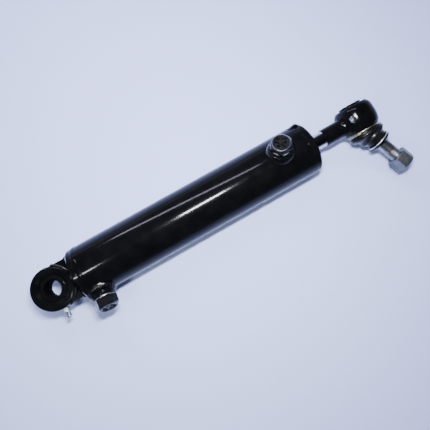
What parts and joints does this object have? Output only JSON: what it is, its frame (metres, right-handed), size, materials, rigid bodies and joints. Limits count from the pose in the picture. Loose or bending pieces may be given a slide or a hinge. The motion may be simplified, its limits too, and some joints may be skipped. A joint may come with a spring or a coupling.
{
  "type": "hydraulic cylinder",
  "caption": "Double-acting single-stage hydraulic cylinder with a greased rear eye, two welded side ports, a chromed rod and a booted ball-joint rod end with a threaded stud and nut.",
  "frame": {"origin": "centre of the rear eye's bore, on the cylinder's axis", "axes": "+X along the cylinder towards the rod end, +Z along the rear eye's bore; the part lies with -Z down"},
  "size_m": [0.4892, 0.1164, 0.0831],
  "materials": {
    "gloss_paint": "gloss",
    "weld_paint": "gloss over weld ripples",
    "chrome_rod": "polished",
    "machined_steel": "turned",
    "zinc_steel": "zinc plated",
    "stud_steel": "phosphated",
    "cover_paint": "satin",
    "gold_wire": "yellow zinc plated",
    "bush_bronze": "machined",
    "boot_rubber": "satin",
    "seal_rubber": "satin",
    "seal_plastic": "moulded"
  },
  "bodies": {
    "barrel": {"barrel_tube": "gloss_paint", "rear_cap": "gloss_paint", "rear_cap_weld": "weld_paint", "rear_eye": "gloss_paint", "eye_bush": "bush_bronze", "eye_seals": "boot_rubber", "eye_weld": "weld_paint", "rear_grease_nipple": "zinc_steel", "rear_port_boss": "gloss_paint", "rear_port_weld": "weld_paint", "rear_port_adapter": "zinc_steel", "port_washers": "machined_steel", "front_port_boss": "gloss_paint", "front_port_weld": "weld_paint", "front_port_adapter": "zinc_steel", "gland": "gloss_paint", "gland_o_ring": "seal_rubber", "gland_backup_ring": "seal_plastic", "gland_lock_wire": "gloss_paint", "guide_bush": "bush_bronze", "rod_seal": "seal_rubber", "rod_wiper": "seal_rubber"},
    "rear_plug": {"rear_port_plug": "seal_plastic"},
    "front_plug": {"front_port_plug": "seal_plastic"},
    "piston_rings": {"piston_seal": "seal_rubber", "piston_wear_rings": "seal_plastic"},
    "rod": {"piston_rod": "chrome_rod", "piston": "machined_steel", "piston_o_ring": "seal_rubber", "piston_nut": "machined_steel", "rod_end_housing": "gloss_paint", "ball_cover": "cover_paint", "cover_snap_ring": "machined_steel", "preload_spring": "machined_steel", "pressure_pad": "machined_steel", "housing_grease_nipple": "zinc_steel", "boot_clamp_ring": "gold_wire", "boot_upper": "boot_rubber"},
    "ball_liner": {"ball_liner": "seal_plastic", "boot_lower": "boot_rubber"},
    "boot_ring": {"boot_small_ring": "zinc_steel", "boot_lip": "boot_rubber"},
    "stud": {"ball_stud": "stud_steel", "stud_nut": "zinc_steel"}
  },
  "joints": [
    {"name": "rod_slide", "type": "slide", "parent": "barrel", "child": "piston_rings", "axis": [1, 0, 0], "range_m": [0, 0.2]},
    {"name": "rod_turn", "type": "hinge", "parent": "piston_rings", "child": "rod", "pos_m": [0, 0, 0], "axis": [1, 0, 0], "continuous": true},
    {"name": "stud_swing", "type": "hinge", "parent": "rod", "child": "ball_liner", "pos_m": [0.42, -0.00597, -0.00063], "axis": [0, -0.1045, 0.9945], "range_deg": [-48, 2], "deforming": ["boot_upper"]},
    {"name": "stud_tilt", "type": "hinge", "parent": "ball_liner", "child": "boot_ring", "pos_m": [0.42, -0.00597, -0.00063], "axis": [0.9205, 0.3886, 0.0408], "range_deg": [-18, 18], "deforming": ["boot_lower"]},
    {"name": "stud_spin", "type": "hinge", "parent": "boot_ring", "child": "stud", "pos_m": [0.42, -0.00597, -0.00063], "axis": [0.3907, -0.9155, -0.0962], "continuous": true},
    {"name": "rear_plug_pull", "type": "slide", "parent": "barrel", "child": "rear_plug", "axis": [0, -0.9397, 0.342], "range_m": [0, 0.03]},
    {"name": "front_plug_pull", "type": "slide", "parent": "barrel", "child": "front_plug", "axis": [0, 0.309, 0.9511], "range_m": [0, 0.03]}
  ]
}
